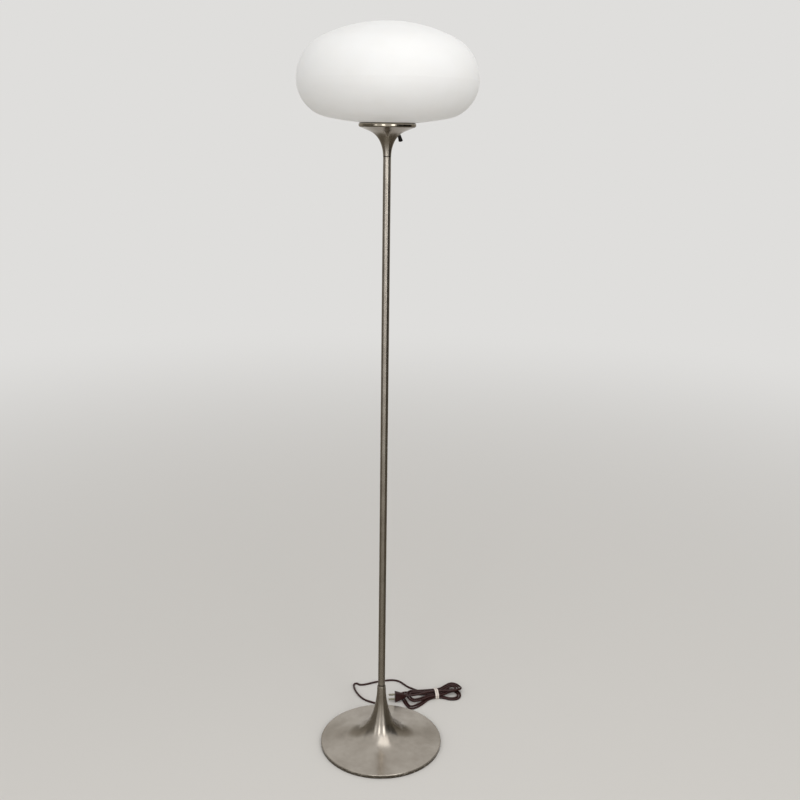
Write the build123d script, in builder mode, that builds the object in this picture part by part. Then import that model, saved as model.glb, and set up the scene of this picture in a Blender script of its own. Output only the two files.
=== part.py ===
from build123d import *

import os
from dataclasses import dataclass
from itertools import pairwise
from math import asin, atan2, cos, degrees, dist, pi, radians, sin, sqrt, tan

# Mushroom floor lamp: a spun trumpet base, a thin tube, a flared cup and an opal glass shade that
# rests on a rolled rim. Millimetres, +Z up. The origin is the middle of the base where it stands on
# the floor. +Y points to the back, where the cord leaves the base.

# ---- Driving dimensions --------------------------------------------------------------------------

# Trumpet base, from the neck outwards
base_radius = 139.7
base_height = 147.0
rim_height = 9.0
rim_clearance = 0.6
rim_rounding = 1.4
shell_wall = 1.4
neck_radius = 9.8
neck_rounding = 0.7
neck_curve_radius = 237.0
waist_curve_radius = 66.0
skirt_tilt = 9.5
skirt_rise = 8.85

# Felt ring, cast weight and the clamp under it
felt_thickness = 1.5
felt_bore_radius = 32.0
felt_margin = 2.5
weight_gap = 0.4
weight_height = 36.5
pocket_radius = 18.0
pocket_depth = 24.0
washer_radius = 14.0
washer_thickness = 1.5
nut_across_flats = 14.3
nut_thickness = 5.0
rod_tail = 1.2

# Threaded rod, tube and bushes
rod_radius = 4.9
rod_bore_radius = 3.3
bore_gap = 0.15
tube_radius = 7.95
tube_wall = 1.2
tube_seat_depth = 6.0
stem_top = 1332.0
neck_bush_length = 16.0
top_bush_length = 24.0

# Flared cup under the shade, from the tube outwards
flare_foot_radius = 8.2
flare_radius = 55.5
flare_height = 55.5
flare_wall = 1.2
foot_curve_radius = 64.4
bowl_curve_radius = 40.7
brim_tilt = 23.1
brim_rise = 8.05

# Shade plate, its clamp and the felt ring under the glass
plate_radius = 57.0
plate_height = 8.0
plate_wall = 1.2
plate_rounding = 1.5
plate_lip_width = 8.0
collar_height = 5.0
collar_gap = 1.2
gasket_thickness = 0.6
plate_washer_radius = 9.0
plate_washer_thickness = 1.0
plate_nut_thickness = 4.5
rod_head = 8.0

# Opal glass shade
shade_radius = 178.5
shade_height = 187.9
shade_equator_height = 79.9
shade_wall = 3.0
shade_opening_radius = 50.0
shade_opening_rounding = 0.8
shade_top_curve = 87.0
shade_bottom_curve = 72.0
shade_seat_sag = 2.5

# Bulb
bulb_radius = 30.0
bulb_length = 110.0
bulb_wall = 0.8
bulb_neck_radius = 12.3
bulb_neck_curve = 40.0
bulb_neck_overlap = 6.0
bulb_cap_radius = 13.0
bulb_cap_wall = 0.5
bulb_cap_height = 20.0
bulb_insulator_height = 4.0
bulb_contact_radius = 4.8
bulb_contact_height = 1.0

# Socket, from the inside out
screw_gap = 0.25
screw_wall = 0.4
screw_height = 24.0
liner_gap = 2.2
liner_wall = 0.7
liner_height = 38.0
socket_fit = 0.1
socket_shell_wall = 0.5
socket_shell_height = 40.0
socket_shell_drop = 3.5
socket_body_gap = 7.0
socket_body_height = 9.0
cap_wall = 0.9
cap_hub_radius = 7.4
cap_skirt_height = 13.0
contact_radius = 3.2
contact_height = 2.0
terminal_flat = 11.5
terminal_head_radius = 2.6
terminal_head_height = 1.8
terminal_shank_radius = 1.5
terminal_shank_length = 4.0

# Rotary switch in the cup, to the right at the back
switch_azimuth = 50.0
switch_tilt = 65.0
switch_body_radius = 7.0
switch_body_depth = 11.0
switch_seat_gap = 0.5
switch_neck_radius = 4.6
switch_neck_gap = 0.2
ring_nut_radius = 6.2
ring_nut_thickness = 2.0
ring_nut_gap = 0.55
switch_neck_rise = 0.35
shaft_radius = 1.5
shaft_gap = 0.05
shaft_reach = 11.0
shaft_depth = 6.0
knob_gap = 0.6
knob_length = 16.5
knob_root_radius = 2.8
knob_tip_width = 10.0
knob_tip_thickness = 7.6
knob_rounding = 0.8

# Wires
lead_radius = 0.9
lead_bend_radius = 2.4
switch_lead_spacing = 2.6
switch_lead_height = 4.0
lead_hole_radius = 3.2
cap_entry_radius = 13.2
lead_tail = 10.5
socket_lead_spacing = 2.2
socket_lead_rise = 2.2

# Mains cord
cord_radius = 2.4
cord_gap = 0.3
cord_exit_azimuth = 94.0
cord_exit_height = 4.3
cord_straight = 5.8
riser_bend_radius = 10.0
riser_tail = 2.0
bushing_fit = 0.1
bushing_wall = 0.6
bushing_flange_radius = 4.0
bushing_flange_thickness = 1.2
bushing_sleeve = 3.4
bushing_play = 0.15

# Hank that the rest of the cord is tied up in
hank_middle = Vector(138.5, 193.0)
hank_angle = 9.0
hank_turns = 2
strand_pitch = 7.0
layer_pitch = 5.8
climb_length = 100.0
tail_offset = -1.0
tie_wall = 0.7
tie_gap = 0.4
tie_width = 9.0

# Plug, standing on its edge
plug_tail = Vector(62.0, 170.4)
plug_heading = 187.4
plug_length = 28.3
plug_width = 28.0
plug_thickness = 13.0
plug_waist_place = 13.3
plug_waist_width = 18.0
plug_waist_thickness = 11.0
plug_tail_width = 7.0
plug_rounding = 3.4
blade_spacing = 12.7
blade_width = 6.35
blade_thickness = 1.5
blade_length = 16.0
blade_root = 5.0
blade_hole_radius = 1.6
blade_hole_place = 12.0


@dataclass
class Lobe:
    """One side of one layer of the hank. A step is what each loop further in takes off."""

    angle: float
    length: float
    length_step: float
    shoulder: float
    shoulder_step: float
    half_width: float
    width_step: float
    spread: float
    spread_step: float


# Keys are the side, with +1 to the right, and the layer, from the floor up.
lobes = {
    (-1, 0): Lobe(9, 92, 6.0, 70, 0, 44, 9.6, 20, 2.4),
    (-1, 1): Lobe(5, 76, 6.4, 56, 0, 26, 8.0, 12, 1),
    (1, 0): Lobe(-5, 63, 6.0, 42, 2, 25, 6.6, 4, 0.5),
    (1, 1): Lobe(21, 72, 6.4, 55, 2, 19.5, 6.6, 9, -2),
}

# ---- Heights and radii that follow ---------------------------------------------------------------

tube_bottom = base_height - tube_seat_depth
pocket_top = felt_thickness + pocket_depth
washer_bottom = pocket_top - washer_thickness
base_nut_bottom = washer_bottom - nut_thickness
rod_bottom = base_nut_bottom - rod_tail

flare_top = stem_top + flare_height
plate_top = flare_top + plate_height
seat_height = plate_top + gasket_thickness
collar_radius = shade_opening_radius - collar_gap
plate_washer_top = plate_top + plate_washer_thickness
plate_nut_top = plate_washer_top + plate_nut_thickness
rod_top = plate_nut_top + rod_head

shade_equator = seat_height + shade_equator_height
shade_apex = seat_height + shade_height
shade_floor = seat_height - shade_seat_sag

screw_bore = bulb_cap_radius + screw_gap
liner_bore = screw_bore + screw_wall + liner_gap
socket_bore = liner_bore + liner_wall + socket_fit
cap_bore = socket_bore + socket_shell_wall + socket_fit
cap_radius = cap_bore + cap_wall
cap_curve = cap_radius - cap_hub_radius
socket_body_bottom = rod_top + socket_body_gap
socket_body_top = socket_body_bottom + socket_body_height
socket_shell_bottom = socket_body_bottom - socket_shell_drop

bulb_bottom = socket_body_top + contact_height
insulator_bottom = bulb_bottom + bulb_contact_height
bulb_cap_bottom = insulator_bottom + bulb_insulator_height
bulb_glass_bottom = bulb_cap_bottom + bulb_cap_height - bulb_neck_overlap
bulb_middle = bulb_bottom + bulb_length - bulb_radius

bushing_radius = cord_radius + bushing_fit + bushing_wall
bushing_reach = bushing_play + bushing_flange_thickness
notch_radius = bushing_radius + bushing_play
cord_channel_radius = bushing_radius + cord_gap
riser_top = rod_top + riser_tail
cord_floor = cord_radius


def around(azimuth, radius, height, sideways=0.0):
    """A point at a distance from the lamp's axis, on the side that the azimuth gives."""
    turn = radians(azimuth)
    x = radius * cos(turn) - sideways * sin(turn)
    y = radius * sin(turn) + sideways * cos(turn)
    return Vector(x, y, height)


# ---- Outlines of the turned forms ----------------------------------------------------------------


def turns_to(height, first_radius, second_radius, tilt):
    """Turns of two arcs in a row that start upright, span a height and end this far from level."""
    end_turn = 90 - tilt
    rest = height - second_radius * sin(radians(end_turn))
    first_turn = degrees(asin(rest / (first_radius - second_radius)))
    return first_turn, end_turn - first_turn


def closing_arc(start, heading, end):
    """Radius and turn of the arc from start along heading to end, positive to the left."""
    chord = end - start
    across = heading.X * chord.Y - heading.Y * chord.X
    along = heading.dot(chord)
    return chord.dot(chord) / (2 * across), 2 * degrees(atan2(across, along))


# The trumpet's skirt and the cup's brim end on their rims, so their curves follow from the rest.
neck_curve_turn, waist_curve_turn = turns_to(
    base_height - rim_height - skirt_rise, neck_curve_radius, waist_curve_radius, skirt_tilt
)
with BuildLine() as trumpet_curves:
    neck_curve = JernArc((neck_radius, base_height), (0, -1), neck_curve_radius, neck_curve_turn)
    waist_curve = JernArc(neck_curve @ 1, neck_curve % 1, waist_curve_radius, waist_curve_turn)
skirt_radius, skirt_turn = closing_arc(
    waist_curve @ 1, waist_curve % 1, Vector(base_radius, rim_height)
)

foot_curve_turn, bowl_curve_turn = turns_to(
    flare_height - brim_rise, foot_curve_radius, bowl_curve_radius, brim_tilt
)
with BuildLine() as cup_curves:
    foot_curve = JernArc((flare_foot_radius, stem_top), (0, 1), foot_curve_radius, -foot_curve_turn)
    bowl_curve = JernArc(foot_curve @ 1, foot_curve % 1, bowl_curve_radius, -bowl_curve_turn)
brim_radius, brim_turn = closing_arc(bowl_curve @ 1, bowl_curve % 1, Vector(flare_radius, flare_top))

# The shade's dome and floor are arcs about the lamp's axis, tangent to the shoulders beside them.
dome_rise = shade_apex - shade_equator
dome_reach = shade_radius - shade_top_curve
dome_radius = (dome_reach**2 + dome_rise**2 - shade_top_curve**2) / (2 * (dome_rise - shade_top_curve))
dome_angle = degrees(atan2(dome_reach, dome_radius - dome_rise))

floor_drop = shade_equator - shade_floor
floor_reach = shade_radius - shade_bottom_curve
floor_radius = (floor_reach**2 + floor_drop**2 - shade_bottom_curve**2) / (
    2 * (floor_drop - shade_bottom_curve)
)
floor_angle = degrees(atan2(floor_reach, floor_radius - floor_drop))

# The bulb's neck meets its globe in an arc outside both.
neck_centre = bulb_neck_radius + bulb_neck_curve
neck_rise = sqrt((bulb_radius + bulb_neck_curve) ** 2 - neck_centre**2)
neck_turn = degrees(atan2(neck_rise, neck_centre))


def trumpet_space(inset):
    """Half section of the space under the base's outer surface, moved inwards by inset."""
    with BuildSketch() as space:
        with BuildLine():
            neck = JernArc(
                (neck_radius - inset, base_height), (0, -1), neck_curve_radius + inset, neck_curve_turn
            )
            waist = JernArc(neck @ 1, neck % 1, waist_curve_radius + inset, waist_curve_turn)
            skirt = JernArc(waist @ 1, waist % 1, abs(skirt_radius + inset), skirt_turn)
            rim_corner = (base_radius, rim_height - inset)
            Polyline(skirt @ 1, rim_corner, (base_radius, 0), (0, 0), (0, base_height), neck @ 0)
        make_face()
        Rectangle(base_radius - inset, base_height, align=Align.MIN, mode=Mode.INTERSECT)
    return space.sketch


def cup_space(inset):
    """Half section of the space inside the cup's outer surface, moved inwards by inset."""
    with BuildSketch() as space:
        with BuildLine():
            foot = JernArc(
                (flare_foot_radius - inset, stem_top), (0, 1), foot_curve_radius + inset, -foot_curve_turn
            )
            bowl = JernArc(foot @ 1, foot % 1, bowl_curve_radius + inset, -bowl_curve_turn)
            brim = JernArc(bowl @ 1, bowl % 1, abs(brim_radius - inset), brim_turn)
            brim_height = (brim @ 1).Y
            Polyline(brim @ 1, (0, brim_height), (0, stem_top), foot @ 0)
        make_face()
    return space.sketch


def plate_space(inset):
    """Half section of the space inside the plate's rolled rim, moved inwards by inset."""
    with BuildSketch() as space:
        with Locations((0, flare_top + inset)):
            Rectangle(plate_radius - inset, plate_height - 2 * inset, align=Align.MIN)
        fillet(space.vertices().group_by(Axis.X)[-1], plate_rounding + plate_wall - inset)
    return space.sketch


def shade_space(inset):
    """Half section of the space inside the shade's outer surface, moved inwards by inset."""
    with BuildSketch() as space:
        with BuildLine():
            shoulder = (shade_radius - shade_top_curve, shade_equator)
            belly = (shade_radius - shade_bottom_curve, shade_equator)
            CenterArc((0, shade_apex - dome_radius), dome_radius - inset, 90 - dome_angle, dome_angle)
            CenterArc(shoulder, shade_top_curve - inset, 0, 90 - dome_angle)
            CenterArc(belly, shade_bottom_curve - inset, floor_angle - 90, 90 - floor_angle)
            CenterArc((0, shade_floor + floor_radius), floor_radius - inset, -90, floor_angle)
            Line((0, shade_floor + inset), (0, shade_apex - inset))
        make_face()
    return space.sketch


def bulb_space(inset):
    """Half section of the space inside the bulb's glass, moved inwards by inset."""
    with BuildSketch() as space:
        with BuildLine():
            neck_top = bulb_middle - neck_rise
            neck = Line((bulb_neck_radius - inset, bulb_glass_bottom), (bulb_neck_radius - inset, neck_top))
            throat = JernArc(neck @ 1, (0, 1), bulb_neck_curve + inset, -neck_turn)
            globe = JernArc(throat @ 1, throat % 1, bulb_radius - inset, 90 + neck_turn)
            Polyline(globe @ 1, (0, bulb_glass_bottom), neck @ 0)
        make_face()
    return space.sketch


# ---- Base ----------------------------------------------------------------------------------------

# The cord leaves square to the rim; this plane faces outwards there.
exit_plane = Plane(
    origin=around(cord_exit_azimuth, base_radius, cord_exit_height),
    x_dir=(0, 0, -1),
    z_dir=around(cord_exit_azimuth, 1, 0),
)

# Spun trumpet, with a notch in the rim for the cord
with BuildPart() as base_shell:
    with BuildSketch(Plane.XZ):
        add(trumpet_space(0))
        add(trumpet_space(shell_wall), mode=Mode.SUBTRACT)
        Rectangle(base_radius, rim_clearance, align=Align.MIN, mode=Mode.SUBTRACT)
    revolve(axis=Axis.Z)
    rings = base_shell.edges().filter_by(GeomType.CIRCLE).filter_by(Plane.XY)
    fillet(rings.group_by(Axis.Z)[-1].sort_by(SortBy.RADIUS)[-1], neck_rounding)
    rings = base_shell.edges().filter_by(GeomType.CIRCLE).filter_by(Plane.XY)
    fillet(rings.group_by(SortBy.RADIUS)[-1].sort_by(Axis.Z)[-1], rim_rounding)
    with BuildSketch(exit_plane.offset(-shell_wall - cord_gap)):
        Circle(notch_radius)
        Rectangle(cord_exit_height, 2 * notch_radius, align=(Align.MIN, Align.CENTER))
    extrude(amount=shell_wall + 2 * cord_gap, mode=Mode.SUBTRACT)
base_shell.part.label = "base_shell"

# Cast-iron weight, with a pocket for the nut and a channel for the cord and its bushing
with BuildPart() as base_weight:
    with BuildSketch(Plane.XZ):
        add(trumpet_space(shell_wall + weight_gap))
        with Locations((0, felt_thickness)):
            Rectangle(base_radius, weight_height, align=Align.MIN, mode=Mode.INTERSECT)
    revolve(axis=Axis.Z)
    with BuildSketch(Plane.XY):
        Circle(rod_radius + 2 * bore_gap)
    extrude(amount=felt_thickness + weight_height, mode=Mode.SUBTRACT)
    with BuildSketch(Plane.XY):
        Circle(pocket_radius)
    extrude(amount=pocket_top, mode=Mode.SUBTRACT)
    with BuildSketch(exit_plane):
        Circle(cord_channel_radius)
        Rectangle(cord_exit_height, 2 * cord_channel_radius, align=(Align.MIN, Align.CENTER))
    extrude(amount=-base_radius, mode=Mode.SUBTRACT)
base_weight.part.label = "base_weight"

# Felt ring that the lamp stands on
with BuildPart() as base_felt:
    with BuildSketch(Plane.XY):
        Circle(base_radius - shell_wall - felt_margin)
        Circle(felt_bore_radius, mode=Mode.SUBTRACT)
    extrude(amount=felt_thickness)
base_felt.part.label = "base_felt"

# Flat washer and hexagon nut that pull weight, shell, tube, cup and plate together
with BuildPart() as base_washer:
    with BuildSketch(Plane.XY.offset(washer_bottom)):
        Circle(washer_radius)
        Circle(rod_radius + bore_gap, mode=Mode.SUBTRACT)
    extrude(amount=washer_thickness)
base_washer.part.label = "base_washer"

with BuildPart() as base_nut:
    with BuildSketch(Plane.XY.offset(base_nut_bottom)):
        RegularPolygon(nut_across_flats / 2, 6, major_radius=False)
        Circle(rod_radius, mode=Mode.SUBTRACT)
    extrude(amount=nut_thickness)
base_nut.part.label = "base_nut"

# Turned bush soldered into the neck, which the tube stands on
with BuildPart() as neck_bush:
    with BuildSketch(Plane.XZ):
        add(trumpet_space(shell_wall + bore_gap))
        with Locations((rod_radius + bore_gap, tube_bottom - neck_bush_length)):
            Rectangle(base_radius, neck_bush_length, align=Align.MIN, mode=Mode.INTERSECT)
    revolve(axis=Axis.Z)
neck_bush.part.label = "neck_bush"

# Moulded bushing pushed into the notch, with a flange outside
with BuildPart() as cord_bushing:
    with BuildSketch(exit_plane.offset(-bushing_sleeve)):
        Circle(bushing_radius)
    extrude(amount=bushing_sleeve + bushing_reach)
    with BuildSketch(exit_plane.offset(bushing_play)):
        Circle(bushing_flange_radius)
    extrude(amount=bushing_flange_thickness)
    with BuildSketch(exit_plane.offset(-bushing_sleeve)):
        Circle(cord_radius + bushing_fit)
    extrude(amount=bushing_sleeve + bushing_reach, mode=Mode.SUBTRACT)
cord_bushing.part.label = "cord_bushing"

# ---- Stem ----------------------------------------------------------------------------------------

# Hollow threaded rod from the base to the socket, drawn plain
with BuildPart() as threaded_rod:
    with BuildSketch(Plane.XY.offset(rod_bottom)):
        Circle(rod_radius)
        Circle(rod_bore_radius, mode=Mode.SUBTRACT)
    extrude(amount=rod_top - rod_bottom)
threaded_rod.part.label = "threaded_rod"

with BuildPart() as stem_tube:
    with BuildSketch(Plane.XY.offset(tube_bottom)):
        Circle(tube_radius)
        Circle(tube_radius - tube_wall, mode=Mode.SUBTRACT)
    extrude(amount=stem_top - tube_bottom)
stem_tube.part.label = "stem_tube"

# Sleeve on the rod, half in the tube and half in the cup's foot
with BuildPart() as top_bush:
    with BuildSketch(Plane.XY.offset(stem_top - top_bush_length / 2)):
        Circle(tube_radius - tube_wall - bore_gap)
        Circle(rod_radius + bore_gap, mode=Mode.SUBTRACT)
    extrude(amount=top_bush_length)
top_bush.part.label = "top_bush"

# ---- Cup and shade plate -------------------------------------------------------------------------

# The switch stands square to the cup's wall, on the bowl's curve; this plane faces outwards there.
bowl_centre = bowl_curve.arc_center
switch_reach = bowl_centre.X - bowl_curve_radius * cos(radians(switch_tilt))
switch_height = bowl_centre.Y + bowl_curve_radius * sin(radians(switch_tilt))
switch_plane = Plane(
    origin=around(switch_azimuth, switch_reach, switch_height),
    x_dir=around(switch_azimuth, 0, 0, 1),
    z_dir=around(switch_azimuth, cos(radians(switch_tilt)), -sin(radians(switch_tilt))),
)

# Spun cup, with a hole for the switch's neck
with BuildPart() as flare_shell:
    with BuildSketch(Plane.XZ):
        add(cup_space(0))
        add(cup_space(flare_wall), mode=Mode.SUBTRACT)
        with Locations((0, stem_top)):
            Rectangle(flare_radius, flare_height, align=Align.MIN, mode=Mode.INTERSECT)
    revolve(axis=Axis.Z)
    with BuildSketch(switch_plane.offset(-2 * flare_wall)):
        Circle(switch_neck_radius + switch_neck_gap)
    extrude(amount=4 * flare_wall, mode=Mode.SUBTRACT)
flare_shell.part.label = "flare_shell"

# The switch's wires rise to the plate along the switch's own axis.
switch_back = flare_wall + switch_seat_gap + switch_body_depth
back_centre = switch_plane.offset(-switch_back).origin
wire_slope = cos(radians(switch_tilt)) / sin(radians(switch_tilt))
back_radius = switch_reach - switch_back * cos(radians(switch_tilt))
plate_hole_radius = back_radius - (plate_top - plate_wall / 2 - back_centre.Z) * wire_slope

# Spun plate: a flat top with a collar for the glass, a rolled rim and a lip on the cup's brim
with BuildPart() as shade_plate:
    with BuildSketch(Plane.XZ):
        add(plate_space(0))
        add(plate_space(plate_wall), mode=Mode.SUBTRACT)
        with Locations((0, flare_top)):
            Rectangle(
                plate_radius - plate_lip_width,
                plate_height - plate_wall,
                align=Align.MIN,
                mode=Mode.SUBTRACT,
            )
        with Locations((collar_radius, plate_top)):
            Rectangle(plate_wall, collar_height, align=(Align.MAX, Align.MIN))
        with Locations((0, flare_top)):
            Rectangle(rod_radius + bore_gap, plate_height, align=Align.MIN, mode=Mode.SUBTRACT)
    revolve(axis=Axis.Z)
    with BuildSketch(Plane.XY.offset(plate_top - plate_wall)):
        with Locations(around(switch_azimuth, plate_hole_radius, 0)):
            Circle(lead_hole_radius)
    extrude(amount=plate_wall, mode=Mode.SUBTRACT)
shade_plate.part.label = "shade_plate"

with BuildPart() as plate_washer:
    with BuildSketch(Plane.XY.offset(plate_top)):
        Circle(plate_washer_radius)
        Circle(rod_radius + bore_gap, mode=Mode.SUBTRACT)
    extrude(amount=plate_washer_thickness)
plate_washer.part.label = "plate_washer"

with BuildPart() as plate_nut:
    with BuildSketch(Plane.XY.offset(plate_washer_top)):
        RegularPolygon(nut_across_flats / 2, 6, major_radius=False)
        Circle(rod_radius, mode=Mode.SUBTRACT)
    extrude(amount=plate_nut_thickness)
plate_nut.part.label = "plate_nut"

# Thin felt ring round the collar, under the glass
with BuildPart() as shade_gasket:
    with BuildSketch(Plane.XY.offset(plate_top)):
        Circle(plate_radius - plate_wall - plate_rounding)
        Circle(collar_radius + collar_gap / 2, mode=Mode.SUBTRACT)
    extrude(amount=gasket_thickness)
shade_gasket.part.label = "shade_gasket"

# ---- Glass shade ---------------------------------------------------------------------------------

# One blown piece, ground flat where it sits and opened in the middle of its floor
with BuildPart() as glass_shade:
    with BuildSketch(Plane.XZ):
        add(shade_space(0))
        add(shade_space(shade_wall), mode=Mode.SUBTRACT)
        with Locations((0, seat_height)):
            Rectangle(shade_radius, shade_height, align=Align.MIN, mode=Mode.INTERSECT)
        with Locations((0, seat_height)):
            Rectangle(shade_opening_radius, shade_equator_height, align=Align.MIN, mode=Mode.SUBTRACT)
    revolve(axis=Axis.Z)
    rings = glass_shade.edges().filter_by(GeomType.CIRCLE).filter_by(Plane.XY)
    fillet(rings.group_by(SortBy.RADIUS)[0], shade_opening_rounding)
glass_shade.part.label = "glass_shade"

# ---- Socket --------------------------------------------------------------------------------------

# Cap: a hub on the rod, a rounded bottom and a skirt round the shell
with BuildPart() as socket_cap:
    with BuildSketch(Plane.XZ):
        with BuildLine():
            cap_curve_line = JernArc((cap_hub_radius, plate_nut_top), (1, 0), cap_curve, 90)
            skirt_line = Line(
                cap_curve_line @ 1, (cap_radius, plate_nut_top + cap_curve + cap_skirt_height)
            )
            inner_skirt = Line(skirt_line @ 1, (cap_bore, (skirt_line @ 1).Y))
            inner_wall = Line(inner_skirt @ 1, (cap_bore, plate_nut_top + cap_curve))
            inner_curve = JernArc(inner_wall @ 1, (0, -1), cap_curve - cap_wall, -90)
            Polyline(
                inner_curve @ 1,
                (cap_hub_radius, rod_top),
                (rod_radius, rod_top),
                (rod_radius, plate_nut_top),
                cap_curve_line @ 0,
            )
        make_face()
    revolve(axis=Axis.Z)
    with BuildSketch(Plane.XY.offset(plate_nut_top)):
        with Locations(around(switch_azimuth, cap_entry_radius, 0)):
            Circle(lead_hole_radius)
    extrude(amount=cap_curve, mode=Mode.SUBTRACT)
socket_cap.part.label = "socket_cap"

# Insulator with two flats for the terminals
with BuildPart() as socket_body:
    with BuildSketch(Plane.XY.offset(socket_body_bottom)):
        Circle(liner_bore - socket_fit)
        Rectangle(2 * terminal_flat, 2 * liner_bore, mode=Mode.INTERSECT)
    extrude(amount=socket_body_height)
    for side in (0, 180):
        with BuildSketch(Plane(around(side, terminal_flat, socket_body_bottom + socket_body_height / 2),
                               z_dir=around(side, -1, 0))):
            Circle(terminal_shank_radius)
        extrude(amount=terminal_shank_length, mode=Mode.SUBTRACT)
socket_body.part.label = "socket_body"

with BuildPart() as terminal_screws:
    for side in (0, 180):
        seat = Plane(
            around(side, terminal_flat, socket_body_bottom + socket_body_height / 2),
            z_dir=around(side, 1, 0),
        )
        with BuildSketch(seat):
            Circle(terminal_head_radius)
        extrude(amount=terminal_head_height)
        with BuildSketch(seat):
            Circle(terminal_shank_radius)
        extrude(amount=-terminal_shank_length)
terminal_screws.part.label = "terminal_screws"

with BuildPart() as screw_shell:
    with BuildSketch(Plane.XY.offset(socket_body_top)):
        Circle(screw_bore + screw_wall)
        Circle(screw_bore, mode=Mode.SUBTRACT)
    extrude(amount=screw_height)
screw_shell.part.label = "screw_shell"

with BuildPart() as centre_contact:
    with BuildSketch(Plane.XY.offset(socket_body_top)):
        Circle(contact_radius)
    extrude(amount=contact_height)
centre_contact.part.label = "centre_contact"

with BuildPart() as socket_liner:
    with BuildSketch(Plane.XY.offset(socket_shell_bottom)):
        Circle(liner_bore + liner_wall)
        Circle(liner_bore, mode=Mode.SUBTRACT)
    extrude(amount=liner_height)
socket_liner.part.label = "socket_liner"

with BuildPart() as socket_shell:
    with BuildSketch(Plane.XY.offset(socket_shell_bottom)):
        Circle(socket_bore + socket_shell_wall)
        Circle(socket_bore, mode=Mode.SUBTRACT)
    extrude(amount=socket_shell_height)
socket_shell.part.label = "socket_shell"

# ---- Bulb ----------------------------------------------------------------------------------------

with BuildPart() as bulb_contact:
    with BuildSketch(Plane.XY.offset(bulb_bottom)):
        Circle(bulb_contact_radius)
    extrude(amount=bulb_contact_height)
bulb_contact.part.label = "bulb_contact"

with BuildPart() as bulb_insulator:
    with BuildSketch(Plane.XY.offset(insulator_bottom)):
        Circle(bulb_contact_radius)
    with BuildSketch(Plane.XY.offset(bulb_cap_bottom)):
        Circle(bulb_cap_radius - bulb_cap_wall / 2)
    loft()
bulb_insulator.part.label = "bulb_insulator"

with BuildPart() as bulb_cap:
    with BuildSketch(Plane.XY.offset(bulb_cap_bottom)):
        Circle(bulb_cap_radius)
        Circle(bulb_cap_radius - bulb_cap_wall, mode=Mode.SUBTRACT)
    extrude(amount=bulb_cap_height)
bulb_cap.part.label = "bulb_cap"

with BuildPart() as bulb_glass:
    with BuildSketch(Plane.XZ):
        add(bulb_space(0))
        add(bulb_space(bulb_wall), mode=Mode.SUBTRACT)
    revolve(axis=Axis.Z)
bulb_glass.part.label = "bulb_glass"

# ---- Switch --------------------------------------------------------------------------------------

neck_end = ring_nut_gap + ring_nut_thickness + switch_neck_rise

with BuildPart() as switch_body:
    with BuildSketch(switch_plane.offset(-switch_back)):
        Circle(switch_body_radius)
    extrude(amount=switch_body_depth)
    with BuildSketch(switch_plane.offset(-flare_wall - switch_seat_gap)):
        Circle(switch_neck_radius)
    extrude(amount=flare_wall + switch_seat_gap + neck_end)
    with BuildSketch(switch_plane.offset(neck_end)):
        Circle(shaft_radius + shaft_gap)
    extrude(amount=-neck_end - shaft_depth, mode=Mode.SUBTRACT)
switch_body.part.label = "switch_body"

with BuildPart() as switch_nut:
    with BuildSketch(switch_plane.offset(ring_nut_gap)):
        Circle(ring_nut_radius)
        Circle(switch_neck_radius, mode=Mode.SUBTRACT)
    extrude(amount=ring_nut_thickness)
switch_nut.part.label = "switch_nut"

with BuildPart() as switch_shaft:
    with BuildSketch(switch_plane.offset(-shaft_depth)):
        Circle(shaft_radius)
    extrude(amount=shaft_depth + shaft_reach)
switch_shaft.part.label = "switch_shaft"

# Knob: round at its root, swelling to an oval end
with BuildPart() as switch_knob:
    knob_plane = switch_plane.offset(neck_end + knob_gap)
    with BuildSketch(knob_plane):
        Circle(knob_root_radius)
    with BuildSketch(knob_plane.offset(knob_length)):
        Ellipse(knob_tip_width / 2, knob_tip_thickness / 2)
    loft()
    tip = switch_knob.faces().sort_by(Axis(switch_plane.origin, switch_plane.z_dir))[-1]
    fillet(tip.edges(), knob_rounding)
    with BuildSketch(switch_plane):
        Circle(shaft_radius)
    extrude(amount=shaft_reach, mode=Mode.SUBTRACT)
switch_knob.part.label = "switch_knob"

# Two wires from the switch, through the plate, over the washer and into the cap
with BuildPart() as switch_leads:
    lead_level = plate_top + switch_lead_height
    bend_radius = back_radius - (lead_level - back_centre.Z) * wire_slope
    for sideways in (-switch_lead_spacing / 2, switch_lead_spacing / 2):
        with BuildLine() as route:
            FilletPolyline(
                around(switch_azimuth, back_radius, back_centre.Z, sideways),
                around(switch_azimuth, bend_radius, lead_level, sideways),
                around(switch_azimuth, cap_entry_radius, lead_level, sideways),
                around(switch_azimuth, cap_entry_radius, lead_level + lead_tail, sideways),
                radius=lead_bend_radius,
            )
        with BuildSketch(Plane(origin=route.line @ 0, z_dir=route.line % 0)):
            Circle(lead_radius)
        sweep()
switch_leads.part.label = "switch_leads"

# Two wires from the end of the cord out to the terminals
with BuildPart() as socket_leads:
    terminal_reach = terminal_flat + lead_radius
    terminal_bottom = socket_body_bottom + socket_body_height / 2 - terminal_head_radius
    for side in (0, 180):
        with BuildLine() as route:
            FilletPolyline(
                around(side, socket_lead_spacing / 2, riser_top),
                around(side, socket_lead_spacing / 2, riser_top + socket_lead_rise),
                around(side, terminal_reach, riser_top + socket_lead_rise),
                around(side, terminal_reach, terminal_bottom),
                radius=lead_bend_radius / 2,
            )
        with BuildSketch(Plane(origin=route.line @ 0, z_dir=route.line % 0)):
            Circle(lead_radius)
        sweep()
socket_leads.part.label = "socket_leads"

# ---- Cord ----------------------------------------------------------------------------------------


def bend_radii(points):
    """A radius for each inner point, as large as nine tenths of its shorter run allows."""
    radii = []
    for before, here, after in zip(points, points[1:], points[2:]):
        turn = (here - before).get_angle(after - here)
        shorter = min((here - before).length, (after - here).length)
        radii.append(0.45 * shorter / tan(radians(turn) / 2))
    return radii


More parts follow.
